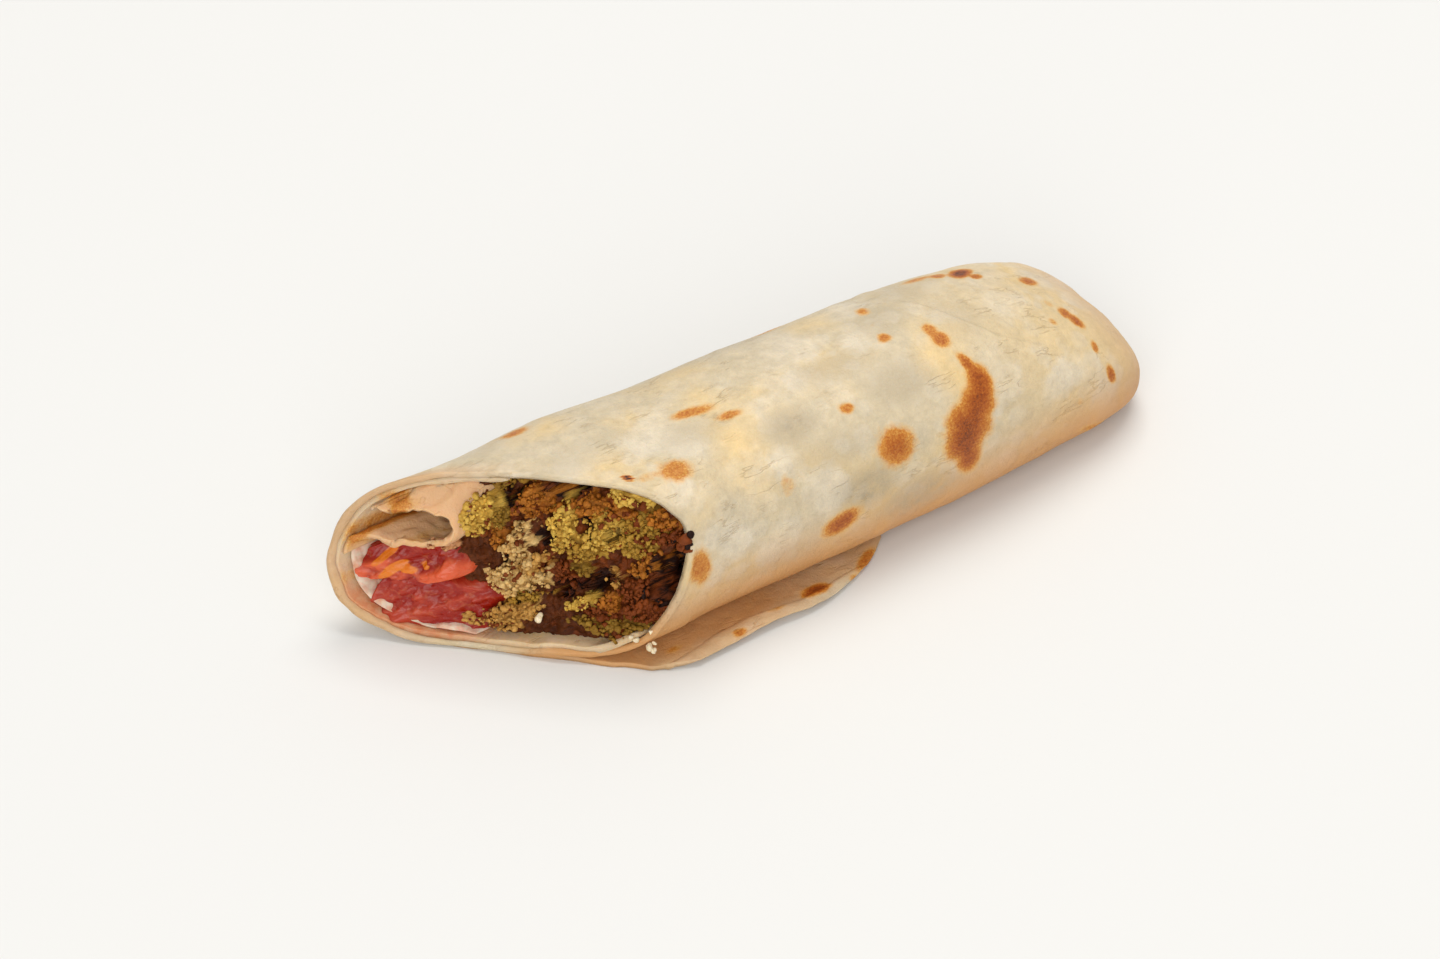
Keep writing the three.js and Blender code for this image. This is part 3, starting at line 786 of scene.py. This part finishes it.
def sauce_film(material):
    """A thin uneven film of sauce on the inner turn, low on the +Y wall and along the floor beside
    the tomato. Where its thickness falls away it sinks into the bread."""
    rows, columns = 40, 150
    path = follow(SAUCE_PATH, columns)
    depth = SAUCE_DEPTH * np.linspace(0, 1, rows)[:, None] ** 1.3
    middle = settle(lap_grid(path, depth, 0.3), SHEET * 1.55)
    normal = surface_normals(middle, around=False)
    uneven = noise(middle, 5, 95, 3)
    share = np.linspace(0, 1, columns)[None, :]
    inside = smooth(share, 0, 0.12) * smooth(1 - share, 0, 0.12)
    inside = inside * smooth(SAUCE_DEPTH - depth, 0, 3) * smooth(depth, -0.4, 0.5)
    lift = -0.9 + 2.1 * inside * np.clip(0.5 + 1.3 * uneven, 0, 1.2)
    rings, faces = sheet_strip(middle - normal * lift[..., None], 0.5)
    return piece("sauce_film", rings.reshape(-1, 3), faces, material, "flatbread")


# ---------------------------------------------------------------- the filling

# dark is painted shade deep in the hollow, and the colour of the dark crust bits on the rim.
TINTS = {
    "green": "#CBA347", "gold": "#A98130", "olive": "#8C6822", "pale": "#D2AB6C", "tan": "#BC8B45",
    "orange": "#A2611C", "crust": "#74360F", "rubble": "#5A2A0A", "dark": "#200700", "pink": "#C08A5E",
}
# How deep the hollow lies behind the cut, and how far the rubble and the holes stand out of it.
HOLLOW, RUBBLE_RISE, HOLE_RISE = 6.4, 3.1, -3.0
# y, z, half width, half height, how far it stands out of the hollow behind it, tint.
MASSES = [
    (7.0, 37.0, 4.8, 2.6, 5.0, "olive"), (8.4, 27.8, 3.2, 5.2, 6.2, "green"),
    (5.0, 28.4, 2.2, 4.2, 4.8, "olive"),
    (1.1, 32.6, 3.3, 4.4, 7.0, "orange"), (-4.0, 28.0, 3.0, 6.4, 6.8, "green"),
    (-9.6, 27.2, 3.6, 4.6, 6.6, "green"),
    (-7.6, 23.4, 3.6, 3.2, 6.0, "gold"), (-7.9, 33.4, 4.6, 2.6, 6.2, "orange"),
    (-11.4, 31.6, 2.6, 1.9, 6.0, "orange"),
    (-11.6, 36.4, 4.2, 1.9, 6.6, "green"), (-14.7, 27.8, 3.5, 5.4, 5.8, "gold"),
    (-17.6, 32.6, 3.4, 2.8, 6.0, "orange"),
    (-19.8, 28.8, 2.6, 3.0, 5.8, "crust"), (0.1, 15.9, 4.6, 3.8, 6.8, "pale"),
    (1.5, 23.0, 1.9, 4.4, 6.8, "pale"),
    (-2.5, 19.8, 1.9, 2.6, 5.4, "tan"), (-7.7, 18.7, 2.4, 1.9, 4.6, "olive"),
    (-6.2, 17.6, 1.8, 3.2, 4.6, "crust"),
    (-9.9, 12.0, 2.1, 1.9, 6.2, "green"), (-13.9, 13.6, 1.6, 2.4, 5.6, "orange"),
    (-17.1, 22.0, 2.1, 2.6, 6.0, "orange"),
    (-13.3, 18.8, 1.6, 1.5, 5.8, "tan"), (-17.6, 16.2, 4.8, 3.4, 5.2, "crust"),
    (-19.2, 12.4, 4.4, 3.2, 5.4, "crust"),
    (-15.0, 7.6, 7.0, 2.6, 5.4, "olive"), (-22.4, 9.8, 2.2, 2.2, 5.8, "gold"),
    (-12.6, 11.0, 3.0, 2.6, 4.8, "crust"),
    (-1.2, 8.0, 4.2, 3.4, 6.6, "tan"), (-1.6, 12.0, 2.6, 2.0, 5.4, "gold"),
    (12.4, 21.0, 3.0, 2.0, 6.6, "pink"),
    (4.7, 23.4, 2.8, 2.8, 5.0, "orange"), (3.6, 6.2, 3.0, 2.4, 5.4, "tan"),
]
# y, z, half width, half height, turn and strength: where the hollow goes on deeper, its crumbs darkened by
# painted shade.
HOLES = [
    (-21.8, 21.2, 3.9, 6.8, 0, 1.5), (-1.4, 37.0, 3.9, 2.3, 0, 1.1), (-2.6, 34.6, 1.3, 1.5, 0, 0.8),
    (-6.6, 37.3, 2.0, 1.0, 0, 0.9), (4.8, 32.4, 2.6, 2.0, 0, 0.8), (8.4, 33.4, 1.8, 1.3, 0, 0.6),
    (-6.0, 14.2, 1.4, 2.6, 0, 0.9), (-10.0, 15.4, 2.7, 1.4, 0, 0.9), (-2.0, 25.4, 1.6, 2.2, 0, 0.6),
    (-11.6, 27.0, 0.8, 2.2, -20, 0.6), (-7.2, 28.6, 1.0, 1.6, 0, 0.55), (2.6, 19.4, 1.4, 1.4, 0, 0.6),
]


def mass_rise(y, z):
    """How far the torn filling stands out of its hollow at (y, z), which mass it belongs to, and how much
    painted shade its crumbs take there, deep in the hollow: each mass is a dome on a bed of rubble, holes go
    on deeper, and noise frays all edges."""
    spot = np.stack([y, z, np.zeros_like(y)], -1)
    y = y + 1.7 * noise(spot, 3.4, 61, 3)
    z = z + 1.7 * noise(spot, 3.4, 67, 3)
    best = RUBBLE_RISE + 0.9 * noise(spot, 5, 68, 2)
    owner = np.full(y.shape, -1)
    for number, (cy, cz, half_y, half_z, rise, _) in enumerate(MASSES):
        r2 = ((y - cy) / half_y) ** 2 + ((z - cz) / half_z) ** 2
        height = rise * np.clip(1.1 - r2, 0, 1) ** 0.45
        owner = np.where(height > best, number, owner)
        best = np.maximum(best, height)
    hole = smooth(field(y, z, HOLES), 0.25, 0.6)
    rise = best + (HOLE_RISE - best) * hole
    return rise, owner, smooth(-rise, -3.1, -1.6)


# A tint for each mass, then brown crust, then the rubble that no mass owns.
TINT_NAMES = [mass[5] for mass in MASSES] + ["crust", "rubble"]
MASS_TINTS = np.array([linear(TINTS[tint])[:3] for tint in TINT_NAMES])
BROWN = -2
# The powers of the shade that red, green and blue take.
DUSK = np.array([0.8, 1.15, 1.8])


def dusky(tint, shade):
    """A tint in shade: it loses most of its blue and least of its red, as between moist crumbs."""
    return tint * shade[..., None] ** DUSK


def crumb_tints(y, z, number):
    """A colour for each crumb from its mass and its random number: brown in patches and now and then by
    itself, lighter or darker, and darkened by painted shade deep in the hollow."""
    _, owner, dark = mass_rise(y, z)
    stray = (number * 7.13 % 1)[..., None]
    pick = MASS_TINTS[owner]
    browned = noise(np.stack([y, z, 0 * y], -1), 3.4, 69, 2)[..., None]
    pick = np.where((stray < 0.05) | (browned - 0.3 > 0.5 * stray), MASS_TINTS[BROWN], pick)
    pick = pick * np.where(browned < -0.3 - 0.3 * stray, 1.2, 1.0)
    # Painted shade deep in the hollow.
    pick = pick + (np.array(linear(TINTS["dark"])[:3]) - pick) * dark[..., None]
    return dusky(pick, 0.78 + 0.4 * (number * 31.7 % 1))


def with_alpha(colours):
    """Colours with a fourth number of 1, as a colour attribute has."""
    return np.concatenate([colours, np.ones((len(colours), 1))], axis=1)


def front_x(y, z):
    """The torn filling's face, without its crumbs: the cut plane, set back by what the masses leave."""
    return cut_x(y, z) + HOLLOW - mass_rise(y, z)[0]


# A lump's place and half size as shares of the roll's, its superellipse's power, its turn, the
# phase of its waves and the x of its hidden end.
CHUNKS = {
    "tomato_lower": ([0.36, -0.55], [0.36, 0.27], 3, 0.1, 0, 44),
    "tomato_upper": ([0.55, -0.17], [0.29, 0.2], 3, -0.1, 2, 30),
    "falafel_middle": ([0.1, -0.22], [0.31, 0.72], 2.6, 0, 1, 62),
    "falafel_upper_far": ([0.18, 0.66], [0.42, 0.36], 2.6, 0.05, 4, 66),
    "falafel_upper_near": ([-0.53, 0.35], [0.55, 0.68], 2.8, 0, 3, 76),
    "falafel_lower_near": ([-0.52, -0.52], [0.58, 0.5], 2.8, 0, 5, 70),
}
FILLING_END_X = 80
SKIN_CLEARANCE = 0.4
COARSE_CRUMB, FINE_CRUMB, LOOSE_CRUMB = 1.55, 0.62, 0.29
CLUMP_RELIEF, COARSE_RELIEF, FINE_RELIEF, GRAIN_RELIEF = 0.9, 0.8, 0.26, 0.22


def chunk_outline(name, x, angle, grow):
    """A lump's outline across the roll: a turned, slightly wavy superellipse, kept in the pocket."""
    at, size, power, twist, phase, _ = CHUNKS[name]
    a, b, cy, cz = roll_at(x)
    turn = twist + 0.12 * np.sin(x / 17 + phase)
    uneven = 1 + 0.05 * np.sin(3 * angle + phase + x / 13) + 0.04 * np.sin(5 * angle - x / 7)
    c = signed_power(np.cos(angle), 2 / power) * (a * size[0] * uneven + grow)
    s = signed_power(np.sin(angle), 2 / power) * (b * size[1] * uneven + grow)
    end = round_off(x, SHOULDER_X, FILLING_END_X, 3, 2)
    y = cy + (a * at[0] + c * np.cos(turn) - s * np.sin(turn)) * end
    z = cz + (b * at[1] + c * np.sin(turn) + s * np.cos(turn)) * end - FLATTEN
    y, z = keep_inside(y, z, x, SHEET + SKIN_CLEARANCE)
    return y, np.maximum(z, SHEET * 2)


def chunk_rings(name, face, grow, face_rows, columns, side_rows):
    """Rings over a lump: from the middle of its torn face out to the rim, where it rounds over, and
    then along its side to its hidden end. `face` gives x for (y, z). Also how much of the crumbs'
    relief each ring takes: all on the face, fading fast along the side."""
    angle = np.linspace(0, 2 * np.pi, columns, endpoint=False)[None, :]
    x = np.full((1, columns), CUT_X)
    for _ in range(20):
        y, z = chunk_outline(name, x, angle, grow)
        x = cut_x(y, z) + 2
    middle_y, middle_z = y.mean(), z.mean()
    r = np.linspace(0.01, 1, face_rows)[:, None]
    flat_y = middle_y + (y - middle_y) * r
    flat_z = middle_z + (z - middle_z) * r
    front = face(flat_y, flat_z) + 2.2 * smooth(r, 0.86, 1.0) ** 2
    face_rings = np.stack([front, flat_y, flat_z], -1)
    end = CHUNKS[name][5]
    side_share = np.linspace(0, 1, side_rows + 1)[1:, None] ** 2
    side_x = front[-1:] + (end - front[-1:]) * side_share
    side_y, side_z = chunk_outline(name, side_x, angle, grow)
    side_rings = np.stack(np.broadcast_arrays(side_x, side_y, side_z), -1)
    on_face = np.concatenate([np.ones(face_rows), np.linspace(0.9, 0, side_rows) ** 8])[:, None]
    return np.concatenate([face_rings, side_rings]), on_face


def falafel_lump(name, material):
    """One lump of crushed falafel: its torn face is clumps of coarse crumbs with fine ones on them, and its
    hidden side is plain crust. Its colour takes painted shade in the cracks between crumbs and on the sides
    that turn away from the cut."""
    rings, on_face = chunk_rings(name, front_x, 0.5, 130, 330, 14)
    clump = noise(rings, 3.0, 63, 2)
    warped = rings + 0.7 * np.stack([noise(rings, 1.6, seed, 2) for seed in (64, 65, 66)], -1)
    coarse, middle, number = pebbles(warped, COARSE_CRUMB, 71)
    fine, _, fine_number = pebbles(warped, FINE_CRUMB, 77)
    stand = CLUMP_RELIEF * clump + COARSE_RELIEF * np.clip(coarse, -0.25, 1)
    stand = stand + FINE_RELIEF * np.clip(fine, -0.2, 1) - 0.6
    stand = stand + GRAIN_RELIEF * noise(rings, 0.8, 79, 2)
    tint = crumb_tints(middle[..., 1], middle[..., 2], number) * (0.85 + 0.3 * fine_number[..., None])
    # Painted shade in the cracks between the crumbs.
    tint = dusky(tint, 0.8 + 0.26 * smooth(coarse + 0.4 * fine, -0.1, 0.7))
    normal = surface_normals(rings)
    facing = -(normal @ CUT_NORMAL)
    # Painted shade where the surface turns away from the cut face.
    tint = dusky(tint, 0.45 + 0.55 * smooth(facing, 0.15, 0.55))
    rings = rings + normal * (stand * on_face)[..., None]
    tint = tint.reshape(-1, 3)
    tint = np.concatenate([tint, tint[[0, -1]]])
    return piece(
        name + "_crumbled", with_poles(rings), ring_faces(*rings.shape[:2]), material, "falafel", [name],
        tint=with_alpha(tint),
    )


rng = np.random.default_rng(20)


def loose_crumbs(material):
    """Crumbs that stand out of the torn face: small uneven balls, half sunk in it."""
    count = 2400
    y = rng.uniform(-25, 15, count * 2)
    z = rng.uniform(2.5, 39, count * 2)
    rise, owner, _ = mass_rise(y, z)
    inside = reach(y, z, cut_x(y, z), 2.2) < 1
    on_tomato = ((y - 12) / 9.5) ** 2 + ((z - 12) / 9) ** 2 < 1
    keep = np.nonzero(inside & (owner >= 0) & (rise > 3.6) & ~on_tomato)[0][:count]
    y, z = y[keep], z[keep]
    radii = np.exp(rng.normal(np.log(LOOSE_CRUMB), 0.4, len(keep))).clip(0.16, 0.6)
    x = front_x(y, z) - 0.35 - 0.4 * radii
    tint = crumb_tints(y, z, rng.random(len(y)))
    points, faces, owner = balls(np.stack([x, y, z], -1), radii, 5, 7, 1.1, 71)
    return piece("falafel_crumbs", points, faces, material, "falafel", tint=with_alpha(tint[owner]))


def rim_bits(material):
    """Dark crust stuck on the rim and pale crumbs fallen on the bread's edge."""
    places = [
        (-22.2, 29.6, 1.0, "crust"), (-22.8, 28.6, 1.1, "dark"),
        (-21.9, 28.0, 0.9, "crust"), (-22.4, 30.6, 0.7, "dark"),
        (-23.0, 27.2, 0.8, "crust"), (-5.9, 8.8, 0.75, "bread"),
        (-21.8, 8.7, 0.45, "bread"), (-20.1, 6.7, 0.5, "bread"),
        (-22.2, 5.6, 0.7, "bread"), (-23.0, 4.9, 0.8, "bread"),
        (-22.8, 6.4, 0.4, "bread"), (-19.4, 7.0, 0.4, "bread"),
    ]
    y, z, radii = (np.array([place[i] for place in places]) for i in range(3))
    tints = TINTS | {"bread": "#EBD9B8"}
    tint = np.array([linear(tints[place[3]])[:3] for place in places])
    x = cut_x(y, z) - 0.4 - 0.5 * (z > 20)
    points, faces, owner = balls(np.stack([x, y, z], -1), radii, 9, 12, 0.8, 73)
    return piece("rim_crumbs", points, faces, material, "falafel", tint=with_alpha(tint[owner]))


# Where the seeds' orange gel lies on the tomato: y, z, half lengths, turn, strength.
GEL = [
    (19.4, 17.6, 0.9, 2.6, 14, 1), (17.6, 14.6, 0.9, 2.4, 25, 1), (15.8, 14.9, 1.8, 0.8, 10, 0.9),
    (13.6, 15.8, 1.2, 0.5, 15, 0.7),
]
RIDGE_DEPTH, STRING_DEPTH, PULP_DEPTH = 2.4, 1.1, 0.45


def tomato_piece(name, material, seed, ridge_highlight):
    """A cut piece of tomato: a smooth wet face drawn into ridges that slope down to the -Y side, deep red in
    its folds as painted shade and lighter on its ridges, in the colour given, as a painted highlight, with
    orange gel by the wall."""
    def ridges(y, z):
        """Broad and narrow noise over (y, z) turned to the ridges' slope, the broad one drawn out
        along them."""
        along, across = y * 0.85 - z * 0.5, y * 0.5 + z * 0.85
        spot = np.stack([along * 0.35, across, 0 * y], -1)
        return noise(spot, 3.6, seed, 2), noise(np.stack([along, across, 0 * y], -1), 2.0, seed + 1, 3)

    def face(y, z):
        """The cut plane set back a little, less each noise times its depth."""
        broad, narrow = ridges(y, z)
        pulp = noise(np.stack([y, z, 0 * y], -1), 1.1, seed + 5, 2)
        return cut_x(y, z) + 1.2 - RIDGE_DEPTH * broad - STRING_DEPTH * narrow - PULP_DEPTH * pulp

    rings, _ = chunk_rings(name, face, 0.3, 90, 160, 12)
    broad, narrow = ridges(rings[..., 1], rings[..., 2])
    # Lighter where the face stands out and deep red where it is set back: a painted highlight on the ridges
    # and painted shade in the folds.
    share = smooth(broad + 0.7 * narrow, -0.35, 0.45)[..., None]
    gel = smooth(field(rings[..., 1], rings[..., 2], GEL), 0.2, 0.5)[..., None]
    deep, bright, orange = (np.array(linear(code)[:3]) for code in ("#961A0C", ridge_highlight, "#DE7A1C"))
    tint = deep * (1 - share) + bright * share
    tint = (tint * (1 - gel) + orange * gel).reshape(-1, 3)
    tint = np.concatenate([tint, tint[[0, -1]]])
    return piece(
        name + "_flesh", with_poles(rings), ring_faces(*rings.shape[:2]), material, "tomato", [name],
        tint=with_alpha(tint),
    )


# ---------------------------------------------------------------- the wrap

griddled_bread = flatbread_material("griddled_wheat_flatbread")
bread_roll(griddled_bread)
bread_flap(griddled_bread)
# A lit copy of the bread for the inner turns: its brighter tan is a painted glow of light through the sheet.
inner_bread_painted_glow = flatbread_material("inner_wheat_flatbread_painted_glow", 0.5, "#E9B27C")
bread_lap(inner_bread_painted_glow)
bread_fold(inner_bread_painted_glow)

crumbled = crumb_material()
for node in CHUNKS:
    if node.startswith("falafel"):
        falafel_lump(node, crumbled)
loose_crumbs(crumbled)
rim_bits(crumbled)

flesh = tomato_material()
tomato_piece("tomato_lower", flesh, 81, "#B23C24")
tomato_piece("tomato_upper", flesh, 85, "#D65C36")

sauce_film(sauce_material())


# ---------------------------------------------------------------- floor, light and camera

def stage_floor():
    """A plain pale floor, a little rough."""
    mesh = bpy.data.meshes.new("floor")
    half = 4.0
    corners = [(-half, -half, 0), (half, -half, 0), (half, half, 0), (-half, half, 0)]
    mesh.from_pydata(corners, [], [(0, 1, 2, 3)])
    floor = bpy.data.objects.new("floor", mesh)
    bpy.context.scene.collection.objects.link(floor)
    material = bpy.data.materials.new("matt_white_board")
    material.use_nodes = True
    shader = material.node_tree.nodes["Principled BSDF"]
    shader.inputs["Base Color"].default_value = linear("#E2E2E1")
    shader.inputs["Roughness"].default_value = 0.9
    mesh.materials.append(material)


def area_light(name, place, aim, size, power, colour):
    """A soft square light at a place, turned to face a point, both in metres."""
    data = bpy.data.lights.new(name, "AREA")
    data.size = size
    data.energy = power
    data.color = linear(colour)[:3]
    lamp = bpy.data.objects.new(name, data)
    lamp.location = place
    lamp.rotation_euler = (Vector(aim) - Vector(place)).to_track_quat("-Z", "Y").to_euler()
    bpy.context.scene.collection.objects.link(lamp)


stage_floor()
area_light("key", (0.5, 0.4, 2.0), (0, 0, 0), 1.3, 27.0, "#FFFCF6")
area_light("fill", (-1.3, -1.5, 1.2), (0, 0, 0), 1.7, 27.0, "#FFFDF8")

world = bpy.data.worlds.new("soft_daylight")
bpy.context.scene.world = world
world.use_nodes = True
background = world.node_tree.nodes["Background"]
background.inputs["Color"].default_value = linear("#FFFFFF")
background.inputs["Strength"].default_value = 0.5

CAMERA_PLACE = Vector((-0.51234, -0.71675, 0.79117))
CAMERA_AIM = Vector((0.00059, 0.01579, 0.0))
camera_data = bpy.data.cameras.new("camera")
camera_data.lens = 144.7
camera_data.sensor_width = 36.0
camera = bpy.data.objects.new("camera", camera_data)
camera.location = CAMERA_PLACE
camera.rotation_euler = (CAMERA_AIM - CAMERA_PLACE).to_track_quat("-Z", "Y").to_euler()
bpy.context.scene.collection.objects.link(camera)
bpy.context.scene.camera = camera
bpy.context.scene.view_settings.view_transform = "Standard"
